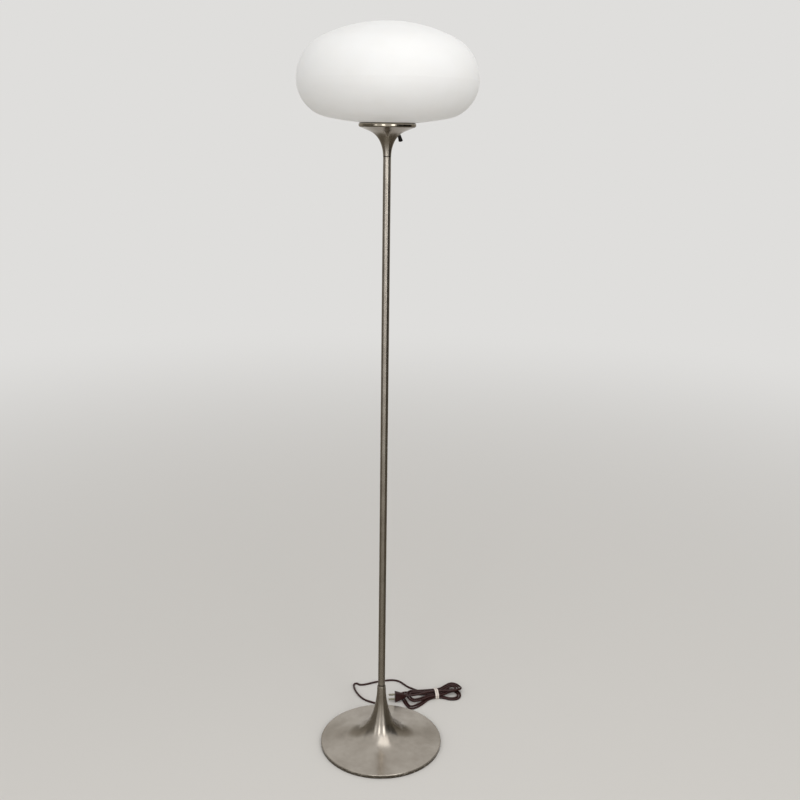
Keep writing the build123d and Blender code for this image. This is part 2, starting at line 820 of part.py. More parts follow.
# Inside the base and the rod
exit_face = base_radius + bushing_reach
with BuildPart() as riser_cord:
    with BuildLine() as riser_route:
        FilletPolyline(
            around(cord_exit_azimuth, exit_face, cord_exit_height),
            (0, 0, cord_exit_height),
            (0, 0, riser_top),
            radius=riser_bend_radius,
        )
    with BuildSketch(Plane(origin=riser_route.line @ 0, z_dir=riser_route.line % 0)):
        Circle(cord_radius)
    sweep()
riser_cord.part.label = "riser_cord"

# On the floor: to the left behind the base, back to the right and round to the hank
cord_points = [
    around(cord_exit_azimuth, exit_face, cord_exit_height),
    around(cord_exit_azimuth, exit_face + cord_straight, cord_exit_height),
    Vector(-12.5, 151.8, 3.6),
    Vector(-16.5, 156, 2.8),
    Vector(-26, 161, cord_floor),
    Vector(-43, 170.5, cord_floor),
    Vector(-57, 190, cord_floor),
    Vector(-67, 213, cord_floor),
    Vector(-71, 231, cord_floor),
    Vector(-71.5, 243, cord_floor),
    Vector(-63.5, 247.5, cord_floor),
    Vector(-57, 239.5, cord_floor),
    Vector(-46, 240, cord_floor),
    Vector(-34, 245, cord_floor),
    Vector(-14, 254, cord_floor),
    Vector(3, 259, cord_floor),
    Vector(26, 264, cord_floor),
    Vector(43, 260, cord_floor),
    Vector(56, 246, cord_floor),
    Vector(66, 232, cord_floor),
    Vector(80, 222, cord_floor),
]
with BuildPart() as cord_free:
    with BuildLine() as free_route:
        FilletPolyline(*cord_points, radius=bend_radii(cord_points))
    with BuildSketch(Plane(origin=free_route.line @ 0, z_dir=free_route.line % 0)):
        Circle(cord_radius)
    sweep()
cord_free.part.label = "cord_free"

# The hank: loops in two layers, drawn in at the waist by the tie. The cord spirals in on the floor,
# climbs at the waist and spirals out above, and its tail crosses the waist on top to the plug.
# Each loop passes eight stations, given as side and across: the waist has side 0.
stations = [(0, 1), (1, 1), (1, 0), (1, -1), (0, -1), (-1, -1), (-1, 0), (-1, 1)]
waist_reach = (hank_turns + 0.25) * strand_pitch
waist_lift = tie_wall + tie_gap


def hank_place(station, turn, layer):
    """Place and heading of the cord at a station, some turns further in than the outermost loop."""
    side, across = stations[station % len(stations)]
    level = cord_floor + layer * layer_pitch
    if side == 0:
        place = Vector(0, across * (waist_reach - strand_pitch * turn), level + waist_lift)
        heading = Vector(across, 0)
        angle = 0
    else:
        lobe = lobes[side, layer]
        angle = lobe.angle
        if across == 0:
            place = Vector(side * (lobe.length - lobe.length_step * turn), 0, level)
            heading = Vector(0, -side)
        else:
            spread = radians(lobe.spread - lobe.spread_step * turn)
            half_width = lobe.half_width - lobe.width_step * turn
            place = Vector(side * (lobe.shoulder - lobe.shoulder_step * turn), across * half_width, level)
            heading = Vector(across * cos(spread), side * sin(spread))
    place = place.rotate(Axis.Z, angle + hank_angle) + hank_middle
    return place, heading.rotate(Axis.Z, angle + hank_angle)


loop = len(stations)
climb = hank_turns * loop
start_heading = (cord_points[-1] - cord_points[-2]).normalized()
hank_start = cord_points[-1] + 2 * cord_radius * start_heading
tail_heading = around(plug_heading, 1, 0)
plug_entry = plug_tail + Vector(0, 0, plug_width / 2)

knots = [(hank_start, start_heading)]
for step in range(climb):
    knots.append(hank_place(step, step / loop, 0))
place, heading = hank_place(climb, hank_turns, 0)
slope = Vector(0, 0, layer_pitch / climb_length)
knots.append((place + Vector(0, 0, layer_pitch / 2), (heading + slope).normalized()))
for step in range(climb + 1, 2 * climb + 3):
    knots.append(hank_place(step, hank_turns - (step - climb) / loop, 1))
place, heading = hank_place(2 * climb + 3, -3 / loop, 1)
knots.append((place + Vector(0, 0, layer_pitch), heading))
tail_place = Vector(0, tail_offset, cord_floor + 2 * layer_pitch + waist_lift)
knots.append((tail_place.rotate(Axis.Z, hank_angle) + hank_middle, Vector(-1, 0).rotate(Axis.Z, hank_angle)))
knots.append((plug_entry - 2 * cord_radius * tail_heading, tail_heading))


def biarc_joint(start, start_heading, end, end_heading):
    """Where the two arcs between two knots meet, and the heading there."""
    chord = end - start
    along = chord.dot(start_heading + end_heading)
    bend = 2 * (1 - start_heading.dot(end_heading))
    if bend < 1e-9:
        reach = chord.dot(chord) / (2 * along)
    else:
        reach = (sqrt(along**2 + bend * chord.dot(chord)) - along) / bend
    first = start + reach * start_heading
    second = end - reach * end_heading
    return (first + second) / 2, (second - first).normalized()


with BuildPart() as cord_hank:
    with BuildLine() as hank_route:
        Line(cord_points[-1], hank_start)
        for (here, heading), (there, end_heading) in pairwise(knots):
            joint, joint_heading = biarc_joint(here, heading, there, end_heading)
            TangentArc(here, joint, tangent=heading)
            TangentArc(joint, there, tangent=joint_heading)
        Line(knots[-1][0], plug_entry)
    with BuildSketch(Plane(origin=cord_points[-1], z_dir=start_heading)):
        Circle(cord_radius)
    sweep()
cord_hank.part.label = "cord_hank"

# Tie round the waist, drawn tight round its strands; the plane looks along the hank
tie_plane = Plane(
    origin=hank_middle,
    x_dir=Vector(0, 1).rotate(Axis.Z, hank_angle),
    z_dir=Vector(1, 0).rotate(Axis.Z, hank_angle),
)
strands = [tie_plane.to_local_coords(place) for place, heading in knots[1::4]]


def round_strands(radius):
    """The outline drawn tight round circles of one radius at the strands."""
    with BuildSketch(Plane.XY, mode=Mode.PRIVATE) as outline:
        for strand in strands:
            with Locations((strand.X, strand.Y)):
                Circle(radius)
        make_hull()
    return outline.sketch


with BuildPart() as cord_tie:
    with BuildSketch(tie_plane.offset(-tie_width / 2)):
        add(round_strands(cord_radius + tie_gap + tie_wall))
        add(round_strands(cord_radius + tie_gap), mode=Mode.SUBTRACT)
    extrude(amount=tie_width)
cord_tie.part.label = "cord_tie"

# Plug on its edge: a broad front, drawn in behind it, and a round tail on the cord
tail_plane = Plane(origin=plug_entry, x_dir=around(plug_heading, 0, 0, 1), z_dir=tail_heading)
front_plane = tail_plane.offset(plug_length)
with BuildPart() as plug_body:
    with BuildSketch(tail_plane):
        RectangleRounded(plug_tail_width, plug_tail_width, plug_rounding)
    with BuildSketch(tail_plane.offset(plug_waist_place)):
        RectangleRounded(plug_waist_thickness, plug_waist_width, plug_rounding)
    with BuildSketch(front_plane):
        RectangleRounded(plug_thickness, plug_width, plug_rounding)
    loft()
    with BuildSketch(front_plane):
        with GridLocations(1, blade_spacing, 1, 2):
            Rectangle(blade_width, blade_thickness)
    extrude(amount=-blade_root, mode=Mode.SUBTRACT)
plug_body.part.label = "plug_body"

with BuildPart() as plug_blades:
    with BuildSketch(front_plane.offset(-blade_root)):
        with GridLocations(1, blade_spacing, 1, 2):
            Rectangle(blade_width, blade_thickness)
    extrude(amount=blade_root + blade_length)
    with BuildSketch(Plane(origin=front_plane.offset(blade_hole_place).origin, z_dir=(0, 0, 1))):
        Circle(blade_hole_radius)
    extrude(amount=blade_spacing, both=True, mode=Mode.SUBTRACT)
plug_blades.part.label = "plug_blades"

# ---- Checks of the cord --------------------------------------------------------------------------

free_radii = bend_radii(cord_points)
print("cord bend radii:", " ".join(f"{radius:.0f}" for radius in free_radii))

route = hank_route.wire()
samples = [
    tuple(route.position_at(at, position_mode=PositionMode.LENGTH)) for at in range(int(route.length))
]
apart = int(pi * 2 * cord_radius)
gaps = [
    dist(samples[one], samples[other])
    for one in range(len(samples))
    for other in range(one + apart, len(samples))
]
print(f"hank: least gap to itself {min(gaps) - 2 * cord_radius:.2f}, length {route.length:.0f}")
for cord, length in ((cord_free, free_route.wire().length), (cord_hank, route.length)):
    filled = cord.part.volume / (pi * cord_radius**2 * length)
    print(f"{cord.part.label}: volume over section times length {filled:.4f}")

# ---- Export --------------------------------------------------------------------------------------

os.makedirs("parts", exist_ok=True)
export_step(base_shell.part, "parts/base_shell.step")
export_step(base_weight.part, "parts/base_weight.step")
export_step(base_felt.part, "parts/base_felt.step")
export_step(base_washer.part, "parts/base_washer.step")
export_step(base_nut.part, "parts/base_nut.step")
export_step(neck_bush.part, "parts/neck_bush.step")
export_step(cord_bushing.part, "parts/cord_bushing.step")
export_step(threaded_rod.part, "parts/threaded_rod.step")
export_step(stem_tube.part, "parts/stem_tube.step")
export_step(top_bush.part, "parts/top_bush.step")
export_step(flare_shell.part, "parts/flare_shell.step")
export_step(shade_plate.part, "parts/shade_plate.step")
export_step(plate_washer.part, "parts/plate_washer.step")
export_step(plate_nut.part, "parts/plate_nut.step")
export_step(shade_gasket.part, "parts/shade_gasket.step")
export_step(glass_shade.part, "parts/glass_shade.step")
export_step(socket_cap.part, "parts/socket_cap.step")
export_step(socket_body.part, "parts/socket_body.step")
export_step(terminal_screws.part, "parts/terminal_screws.step")
export_step(screw_shell.part, "parts/screw_shell.step")
export_step(centre_contact.part, "parts/centre_contact.step")
export_step(socket_liner.part, "parts/socket_liner.step")
export_step(socket_shell.part, "parts/socket_shell.step")
export_step(bulb_contact.part, "parts/bulb_contact.step")
export_step(bulb_insulator.part, "parts/bulb_insulator.step")
export_step(bulb_cap.part, "parts/bulb_cap.step")
export_step(bulb_glass.part, "parts/bulb_glass.step")
export_step(switch_body.part, "parts/switch_body.step")
export_step(switch_nut.part, "parts/switch_nut.step")
export_step(switch_shaft.part, "parts/switch_shaft.step")
export_step(switch_knob.part, "parts/switch_knob.step")
export_step(switch_leads.part, "parts/switch_leads.step")
export_step(socket_leads.part, "parts/socket_leads.step")
export_step(riser_cord.part, "parts/riser_cord.step")
export_step(cord_free.part, "parts/cord_free.step")
export_step(cord_hank.part, "parts/cord_hank.step")
export_step(cord_tie.part, "parts/cord_tie.step")
export_step(plug_body.part, "parts/plug_body.step")
export_step(plug_blades.part, "parts/plug_blades.step")
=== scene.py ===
from math import cos, pi, radians, sin, sqrt

import bmesh
import bpy
from mathutils import Matrix, Vector


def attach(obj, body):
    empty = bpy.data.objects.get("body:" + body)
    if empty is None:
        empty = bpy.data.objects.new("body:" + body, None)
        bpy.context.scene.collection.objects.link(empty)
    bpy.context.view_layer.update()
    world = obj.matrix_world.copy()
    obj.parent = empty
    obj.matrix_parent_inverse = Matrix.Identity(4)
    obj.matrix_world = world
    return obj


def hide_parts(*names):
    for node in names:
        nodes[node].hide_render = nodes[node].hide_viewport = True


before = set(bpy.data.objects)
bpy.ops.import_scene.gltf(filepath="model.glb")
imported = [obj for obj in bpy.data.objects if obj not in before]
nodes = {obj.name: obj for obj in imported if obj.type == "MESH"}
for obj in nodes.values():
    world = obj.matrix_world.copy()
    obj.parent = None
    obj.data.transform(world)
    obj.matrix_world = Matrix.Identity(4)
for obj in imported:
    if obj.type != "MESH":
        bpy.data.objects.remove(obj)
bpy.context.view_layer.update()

# ---- Base weight ---------------------------------------------------------------------------------
# A disc of grey iron, sand cast and dipped in black paint, which fills the base. The nut on the rod
# pulls it up against the shell.


def linear(hex_colour):
    """The linear colour of an sRGB hex value."""
    shares = [int(hex_colour[at : at + 2], 16) / 255 for at in (0, 2, 4)]
    return [s / 12.92 if s <= 0.04045 else ((s + 0.055) / 1.055) ** 2.4 for s in shares] + [1]


def add_node(material, kind, sockets=(), **settings):
    """Adds a node with its settings. A socket takes a value, or the output that is linked to it."""
    tree = material.node_tree
    node = tree.nodes.new("ShaderNode" + kind)
    for name, value in settings.items():
        setattr(node, name, value)
    for key, value in dict(sockets).items():
        if isinstance(value, bpy.types.NodeSocket):
            tree.links.new(value, node.inputs[key])
        else:
            node.inputs[key].default_value = value
    return node


def new_material(name):
    """A material with nothing in it but the place of each point on the object."""
    material = bpy.data.materials.new(name)
    material.use_nodes = True
    material.node_tree.nodes.clear()
    return material, add_node(material, "TexCoord").outputs["Object"]


def dress(material, shader, *names):
    """Ends a material in its shader and gives it to the CAD nodes that are named."""
    add_node(material, "OutputMaterial", {"Surface": shader.outputs[0]})
    for name in names:
        for slot in nodes[name].material_slots:
            slot.material = material


# Sand-cast iron under black paint: dull, with a grain of about 1.5 mm from the sand.
sand_grain = 0.0015
cast_iron, place = new_material("sand_cast_iron")
sand = add_node(cast_iron, "TexNoise", {"Vector": place, "Scale": 1 / sand_grain, "Detail": 4})
paint = add_node(
    cast_iron,
    "Mix",
    {0: sand.outputs["Fac"], 6: linear("26241F"), 7: linear("47433C")},
    data_type="RGBA",
)
grain = add_node(
    cast_iron, "Bump", {"Strength": 0.7, "Distance": 0.0004, "Height": sand.outputs["Fac"]}
)
iron_shader = add_node(
    cast_iron,
    "BsdfPrincipled",
    {"Base Color": paint.outputs[2], "Roughness": 0.72, "Normal": grain.outputs[0]},
)
dress(cast_iron, iron_shader, "base_weight")

# ---- Felt under the base -------------------------------------------------------------------------
# A ring of pressed wool felt glued to the weight, so that the lamp slides without a scratch. A ring
# of the same felt lies between the plate and the glass.

# Pressed wool felt: no gloss, a soft edge to the light, fibres that show as flecks 0.5 mm across.
wool_fleck = 0.0005
felt, place = new_material("pressed_wool_felt")
fibres = add_node(
    felt, "TexNoise", {"Vector": place, "Scale": 1 / wool_fleck, "Detail": 6, "Roughness": 0.7}
)
wool = add_node(
    felt,
    "Mix",
    {0: fibres.outputs["Fac"], 6: linear("1F231E"), 7: linear("4A4E45")},
    data_type="RGBA",
)
nap = add_node(
    felt, "Bump", {"Strength": 0.8, "Distance": 0.0003, "Height": fibres.outputs["Fac"]}
)
felt_shader = add_node(
    felt,
    "BsdfPrincipled",
    {
        "Base Color": wool.outputs[2],
        "Roughness": 0.95,
        "Sheen Weight": 0.4,
        "Sheen Roughness": 0.5,
        "Normal": nap.outputs[0],
    },
)
dress(felt, felt_shader, "base_felt", "shade_gasket")

# ---- Rod, nuts, washers and top bush -------------------------------------------------------------
# Zinc-plated steel pieces from stock: the hollow threaded rod that holds the lamp together, the nut
# and washer at each end of it, the turned bush that centres the cup on the tube, and small screws.

# Zinc plate: a cool dull metal with small bright and dark crystals about 1 mm across.
zinc_crystal = 0.001
zinc, place = new_material("zinc_plated_steel")
crystals = add_node(zinc, "TexVoronoi", {"Vector": place, "Scale": 1 / zinc_crystal})
plating = add_node(
    zinc,
    "Mix",
    {0: crystals.outputs["Color"], 6: linear("9C9E9C"), 7: linear("C3C5C2")},
    data_type="RGBA",
)
dulling = add_node(zinc, "MapRange", {0: crystals.outputs["Distance"], 3: 0.3, 4: 0.48})
zinc_shader = add_node(
    zinc,
    "BsdfPrincipled",
    {"Base Color": plating.outputs[2], "Metallic": 1, "Roughness": dulling.outputs[0]},
)
dress(
    zinc,
    zinc_shader,
    "base_washer",
    "base_nut",
    "threaded_rod",
    "plate_washer",
    "plate_nut",
    "top_bush",
    "terminal_screws",
)

# ---- Base shell, tube and cup --------------------------------------------------------------------
# The trumpet and the cup are spun from sheet steel on a lathe, and the tube between them is drawn.
# All three are nickel plated and rubbed to a satin in the lathe, so their fine lines run round.

# Satin nickel: warm grey metal whose lines run round, which draws each light out along the profile.
# The lines are about 0.1 mm apart on the real one and are drawn 0.7 mm apart, so that they show.
# Tarnish clouds the plate in patches of about 35 mm.
line_spacing = 0.0007
tarnish_patch = 0.035
nickel, place = new_material("satin_nickel_spun")
axes = add_node(nickel, "SeparateXYZ", {0: place})
across = add_node(nickel, "CombineXYZ", {0: axes.outputs[0], 1: axes.outputs[1]})
radius = add_node(nickel, "VectorMath", {0: across.outputs[0]}, operation="LENGTH")
profile = add_node(nickel, "CombineXYZ", {0: radius.outputs["Value"], 2: axes.outputs[2]})
lines = add_node(
    nickel, "TexNoise", {"Vector": profile.outputs[0], "Scale": 1 / line_spacing, "Detail": 3}
)
clouds = add_node(
    nickel,
    "TexNoise",
    {"Vector": place, "Scale": 1 / tarnish_patch, "Detail": 5, "Roughness": 0.6},
)
tarnish = add_node(nickel, "MapRange", {0: clouds.outputs["Fac"], 1: 0.35, 2: 0.7})
plate_colour = add_node(
    nickel,
    "Mix",
    {0: tarnish.outputs[0], 6: linear("B9B2A8"), 7: linear("A8A096")},
    data_type="RGBA",
)

# The lowest 7 mm of the rim is painted darker. Part of it is metal that shoes and brooms have worn,
# and part is painted shade and a painted reflection of the shadowed floor on the rim's side. Bright
# specks of about 4 mm are left in the plate's colour.
rim_shade_starts = 0.008
rim_shade_full = 0.0062
bright_speck = 0.004
low_edge = add_node(nickel, "MapRange", {0: axes.outputs[2], 1: rim_shade_starts, 2: rim_shade_full})
specks = add_node(
    nickel,
    "TexNoise",
    {"Vector": place, "Scale": 1 / bright_speck, "Detail": 4, "Roughness": 0.65},
)
speck_share = add_node(nickel, "MapRange", {0: specks.outputs["Fac"], 1: 0.62, 2: 0.52, 4: 0.85})
# One mask for the rim's foot: painted shade and reflection, together with its real wear.
rim_shade_and_wear = add_node(
    nickel, "Math", {0: low_edge.outputs[0], 1: speck_share.outputs[0]}, operation="MULTIPLY"
)
nickel_colour = add_node(
    nickel,
    "Mix",
    {0: rim_shade_and_wear.outputs[0], 6: plate_colour.outputs[2], 7: linear("3D3629")},
    data_type="RGBA",
)

# The tube meets the base's neck and the cup's foot in a fine dark joint, 2 mm high in all.
neck_height = 0.1503
neck_joint_half = 0.0010
foot_height = 1.3313
foot_joint_half = 0.0009
neck_joint = add_node(
    nickel, "Math", {0: axes.outputs[2], 1: neck_height, 2: neck_joint_half}, operation="COMPARE"
)
foot_joint = add_node(
    nickel, "Math", {0: axes.outputs[2], 1: foot_height, 2: foot_joint_half}, operation="COMPARE"
)
joints = add_node(
    nickel, "Math", {0: neck_joint.outputs[0], 1: foot_joint.outputs[0]}, operation="MAXIMUM"
)
jointed_colour = add_node(
    nickel,
    "Mix",
    {0: joints.outputs[0], 6: nickel_colour.outputs[2], 7: linear("241F17")},
    data_type="RGBA",
)

# The lines part the gloss and the surface too.
satin = add_node(
    nickel, "MapRange", {0: lines.outputs["Fac"], 1: 0.3, 2: 0.7, 3: 0.235, 4: 0.26}
)
rub = add_node(
    nickel, "Bump", {"Strength": 0.025, "Distance": 0.00004, "Height": lines.outputs["Fac"]}
)
round_about = add_node(nickel, "Tangent", direction_type="RADIAL", axis="Z")
nickel_shader = add_node(
    nickel,
    "BsdfPrincipled",
    {
        "Base Color": jointed_colour.outputs[2],
        "Metallic": 1,
        "Roughness": satin.outputs[0],
        "Anisotropic": 0.75,
        "Anisotropic Rotation": 0.25,
        "Tangent": round_about.outputs[0],
        "Normal": rub.outputs[0],
    },
)
dress(nickel, nickel_shader, "base_shell", "stem_tube", "flare_shell")

# ---- Plate under the shade -----------------------------------------------------------------------
# A spun plate with a rolled rim that the glass rests on, nickel plated like the rest but polished.
# The ring nut of the switch has the same finish.

# Polished nickel: a clear mirror, with faint wiping marks about 6 mm across that dull it in places.
wiping_mark = 0.006
polished, place = new_material("polished_nickel")
wiping = add_node(polished, "TexNoise", {"Vector": place, "Scale": 1 / wiping_mark, "Detail": 4})
gloss = add_node(
    polished, "MapRange", {0: wiping.outputs["Fac"], 1: 0.3, 2: 0.7, 3: 0.08, 4: 0.16}
)
shine = add_node(
    polished,
    "Mix",
    {0: wiping.outputs["Fac"], 6: linear("A39B8D"), 7: linear("B5ADA0")},
    data_type="RGBA",
)
polished_shader = add_node(
    polished,
    "BsdfPrincipled",
    {"Base Color": shine.outputs[2], "Metallic": 1, "Roughness": gloss.outputs[0]},
)
dress(polished, polished_shader, "shade_plate", "switch_nut")

# ---- Bushing, switch, knob and socket insulator --------------------------------------------------
# Small black mouldings: the bushing where the cord leaves the rim, the rotary switch behind the
# cup's wall with the knob on its shaft, and the insulator that carries the socket's contacts.

# Moulded phenolic: black, half dull, with flow marks about 3 mm across.
flow_mark = 0.003
phenolic, place = new_material("moulded_phenolic")
flow = add_node(phenolic, "TexNoise", {"Vector": place, "Scale": 1 / flow_mark, "Detail": 3})
black = add_node(
    phenolic,
    "Mix",
    {0: flow.outputs["Fac"], 6: linear("060605"), 7: linear("100F0D")},
    data_type="RGBA",
)
half_dull = add_node(phenolic, "MapRange", {0: flow.outputs["Fac"], 3: 0.3, 4: 0.46})
skin = add_node(
    phenolic, "Bump", {"Strength": 0.3, "Distance": 0.0001, "Height": flow.outputs["Fac"]}
)
phenolic_shader = add_node(
    phenolic,
    "BsdfPrincipled",
    {
        "Base Color": black.outputs[2],
        "Roughness": half_dull.outputs[0],
        "Specular IOR Level": 0.35,
        "Normal": skin.outputs[0],
    },
)
dress(phenolic, phenolic_shader, "cord_bushing", "switch_body", "socket_body", "switch_knob")

# ---- Socket --------------------------------------------------------------------------------------
# A brass-shell lampholder: cap and outer shell of rolled brass, the threaded shell and the contact
# that feed the bulb, and a paper-fibre sleeve between them. The bush soldered in the base's neck,
# the switch's shaft and the bulb's foot contact are brass too.
brass_cloud = 0.008


def brass_finish(material, place):
    """Yellow brass with faint darker clouds about 8 mm across: the clouds, and their colour."""
    clouds = add_node(
        material, "TexNoise", {"Vector": place, "Scale": 1 / brass_cloud, "Detail": 4}
    )
    yellow = add_node(
        material,
        "Mix",
        {0: clouds.outputs["Fac"], 6: linear("BFA468"), 7: linear("9F8450")},
        data_type="RGBA",
    )
    return clouds.outputs["Fac"], yellow.outputs[2]


# Rolled brass, lacquered: the lacquer is duller where the metal under it has clouded.
brass, place = new_material("lacquered_brass")
age, yellow = brass_finish(brass, place)
lacquer = add_node(brass, "MapRange", {0: age, 3: 0.22, 4: 0.36})
brass_shader = add_node(
    brass,
    "BsdfPrincipled",
    {"Base Color": yellow, "Metallic": 1, "Roughness": lacquer.outputs[0]},
)
dress(
    brass,
    brass_shader,
    "neck_bush",
    "socket_cap",
    "socket_shell",
    "centre_contact",
    "bulb_contact",
    "switch_shaft",
)

# Rolled thread: the brass screw shell and the bulb's aluminium cap carry it as a bump, which goes
# once round in 3.6 mm.
thread_pitch = 0.00363
thread_depth = 0.0004


def thread_bump(material, place):
    """The rolled thread of a screw shell, as a bump once round for each pitch."""
    at = add_node(material, "SeparateXYZ", {0: place})
    angle = add_node(material, "Math", {0: at.outputs[1], 1: at.outputs[0]}, operation="ARCTAN2")
    height = add_node(
        material, "Math", {0: at.outputs[2], 1: 2 * pi / thread_pitch}, operation="MULTIPLY"
    )
    phase = add_node(
        material, "Math", {0: height.outputs[0], 1: angle.outputs[0]}, operation="SUBTRACT"
    )
    crest = add_node(material, "Math", {0: phase.outputs[0]}, operation="SINE")
    return add_node(
        material, "Bump", {"Strength": 0.9, "Distance": thread_depth, "Height": crest.outputs[0]}
    )


threaded_brass, place = new_material("rolled_brass_thread")
age, yellow = brass_finish(threaded_brass, place)
thread = thread_bump(threaded_brass, place)
threaded_shader = add_node(
    threaded_brass,
    "BsdfPrincipled",
    {"Base Color": yellow, "Metallic": 1, "Roughness": 0.3, "Normal": thread.outputs[0]},
)
dress(threaded_brass, threaded_shader, "screw_shell")

# Vulcanised paper fibre: brown card, dull, with fibres about 1 mm long.
fibre_length = 0.001
fibre, place = new_material("paper_fibre")
pulp = add_node(fibre, "TexNoise", {"Vector": place, "Scale": 1 / fibre_length, "Detail": 5})
card = add_node(
    fibre,
    "Mix",
    {0: pulp.outputs["Fac"], 6: linear("5A4A35"), 7: linear("7C6A50")},
    data_type="RGBA",
)
fibre_shader = add_node(fibre, "BsdfPrincipled", {"Base Color": card.outputs[2], "Roughness": 0.8})
dress(fibre, fibre_shader, "socket_liner")

# ---- Bulb ----------------------------------------------------------------------------------------
# A household bulb with a screw cap: an inside-white glass on an aluminium cap, with a black glass
# insulator and the contact at its foot.

# Aluminium cap: pale, a little dull, rolled with the thread, with scuffs about 4 mm across.
cap_scuff = 0.004
aluminium, place = new_material("rolled_aluminium")
scuffs = add_node(aluminium, "TexNoise", {"Vector": place, "Scale": 1 / cap_scuff, "Detail": 3})
pale = add_node(
    aluminium,
    "Mix",
    {0: scuffs.outputs["Fac"], 6: linear("C9CACB"), 7: linear("B1B3B5")},
    data_type="RGBA",
)
thread = thread_bump(aluminium, place)
aluminium_shader = add_node(
    aluminium,
    "BsdfPrincipled",
    {
        "Base Color": pale.outputs[2],
        "Metallic": 1,
        "Roughness": 0.32,
        "Normal": thread.outputs[0],
    },
)
dress(aluminium, aluminium_shader, "bulb_cap")

# Insulating glass: black, pressed and smooth, with a faint pull of about 3 mm from the press.
press_pull = 0.003
cap_glass, place = new_material("pressed_black_glass")
pull = add_node(cap_glass, "TexNoise", {"Vector": place, "Scale": 1 / press_pull})
jet = add_node(
    cap_glass,
    "Mix",
    {0: pull.outputs["Fac"], 6: linear("08080A"), 7: linear("17171B")},
    data_type="RGBA",
)
cap_glass_shader = add_node(
    cap_glass, "BsdfPrincipled", {"Base Color": jet.outputs[2], "Roughness": 0.12, "IOR": 1.52}
)
dress(cap_glass, cap_glass_shader, "bulb_insulator")

# Blown glass, coated white inside: even and soft, with powder that varies over about 10 mm.
powder_patch = 0.01
bulb_white, place = new_material("blown_glass_white_coated")
powder = add_node(
    bulb_white, "TexNoise", {"Vector": place, "Scale": 1 / powder_patch, "Detail": 2}
)
coating = add_node(
    bulb_white,
    "Mix",
    {0: powder.outputs["Fac"], 6: linear("F4F1EA"), 7: linear("E9E5DB")},
    data_type="RGBA",
)
bulb_shader = add_node(
    bulb_white,
    "BsdfPrincipled",
    {"Base Color": coating.outputs[2], "Roughness": 0.25, "IOR": 1.5},
)
dress(bulb_white, bulb_shader, "bulb_glass")

# ---- Glass shade ---------------------------------------------------------------------------------
# One piece of opal glass, blown in a mould and etched to a matte skin. It rests loose on the plate.

# Etched opal glass: milk white right through, matte, with a slow unevenness of about 60 mm from
# blowing and an etch of 0.4 mm that breaks up the light.
blowing_wave = 0.06
etch_grain = 0.0004
opal, place = new_material("etched_opal_glass")
blowing = add_node(opal, "TexNoise", {"Vector": place, "Scale": 1 / blowing_wave, "Detail": 2})
etch = add_node(opal, "TexNoise", {"Vector": place, "Scale": 1 / etch_grain, "Detail": 2})
milk = add_node(
    opal,
    "Mix",
    {0: blowing.outputs["Fac"], 6: linear("F6F5F3"), 7: linear("F1EFEB")},
    data_type="RGBA",
)
matte = add_node(opal, "MapRange", {0: etch.outputs["Fac"], 3: 0.42, 4: 0.56})
etched = add_node(
    opal, "Bump", {"Strength": 0.12, "Distance": 0.00005, "Height": etch.outputs["Fac"]}
)
opal_shader = add_node(
    opal,
    "BsdfPrincipled",
    {
        "Base Color": milk.outputs[2],
        "Roughness": matte.outputs[0],
        "IOR": 1.5,
        "Subsurface Weight": 0.25,
        "Subsurface Radius": (0.012, 0.011, 0.01),
        "Subsurface Scale": 1,
        "Normal": etched.outputs[0],
    },
)
dress(opal, opal_shader, "glass_shade")

# ---- Cord ----------------------------------------------------------------------------------------
# A limp round lamp cord with a brown jacket. It leaves the bushing at the back of the rim, runs to
# the left and back to the right on the floor, and is folded up in loops with a tie round them.
cord_radius = 0.0024
exit_azimuth = radians(94)
exit_radius = 0.14105
exit_height = 0.0043
cord_straight = 0.0058
outwards = Vector((cos(exit_azimuth), sin(exit_azimuth), 0))
cord_exit = exit_radius * outwards + Vector((0, 0, exit_height))

cord_points = [cord_exit, cord_exit + cord_straight * outwards]
cord_points += [
    Vector(point)
    for point in (
        (-0.0125, 0.1518, 0.0036),
        (-0.0165, 0.156, 0.0028),
        (-0.026, 0.161, cord_radius),
        (-0.043, 0.1705, cord_radius),
        (-0.057, 0.190, cord_radius),
        (-0.067, 0.213, cord_radius),
        (-0.071, 0.231, cord_radius),
        (-0.0715, 0.243, cord_radius),
        (-0.0635, 0.2475, cord_radius),
        (-0.057, 0.2395, cord_radius),
        (-0.046, 0.240, cord_radius),
        (-0.034, 0.245, cord_radius),
        (-0.014, 0.254, cord_radius),
        (0.003, 0.259, cord_radius),
        (0.026, 0.264, cord_radius),
        (0.043, 0.260, cord_radius),
        (0.056, 0.246, cord_radius),
        (0.066, 0.232, cord_radius),
        (0.080, 0.222, cord_radius),
    )
]

# The folded loops: two layers of them, pinched at the middle. Each loop passes eight stations,
# given as side and across. A lobe is one side of one layer, and its steps are what each loop
# further in takes off. The quarter turn in the waist's reach spaces its strands evenly.
hank_middle = Vector((0.1385, 0.193, 0))
hank_angle = 9
hank_turns = 2
strand_pitch = 0.007
layer_pitch = 0.0058
climb_length = 0.1
tail_offset = -0.001
waist_reach = (hank_turns + 0.25) * strand_pitch
waist_lift = 0.0011
stations = [(0, 1), (1, 1), (1, 0), (1, -1), (0, -1), (-1, -1), (-1, 0), (-1, 1)]
loop_steps = len(stations)
top_step = hank_turns * loop_steps
tail_step = 2 * top_step + 3
# Angle, length, its step, shoulder, its step, half width, its step, spread, its step.
lobes = {
    (-1, 0): (9, 0.092, 0.006, 0.070, 0, 0.044, 0.0096, 20, 2.4),
    (-1, 1): (5, 0.076, 0.0064, 0.056, 0, 0.026, 0.008, 12, 1),
    (1, 0): (-5, 0.063, 0.006, 0.042, 0.002, 0.025, 0.0066, 4, 0.5),
    (1, 1): (22, 0.068, 0.0062, 0.051, 0.002, 0.0195, 0.0066, 9, -2),
}


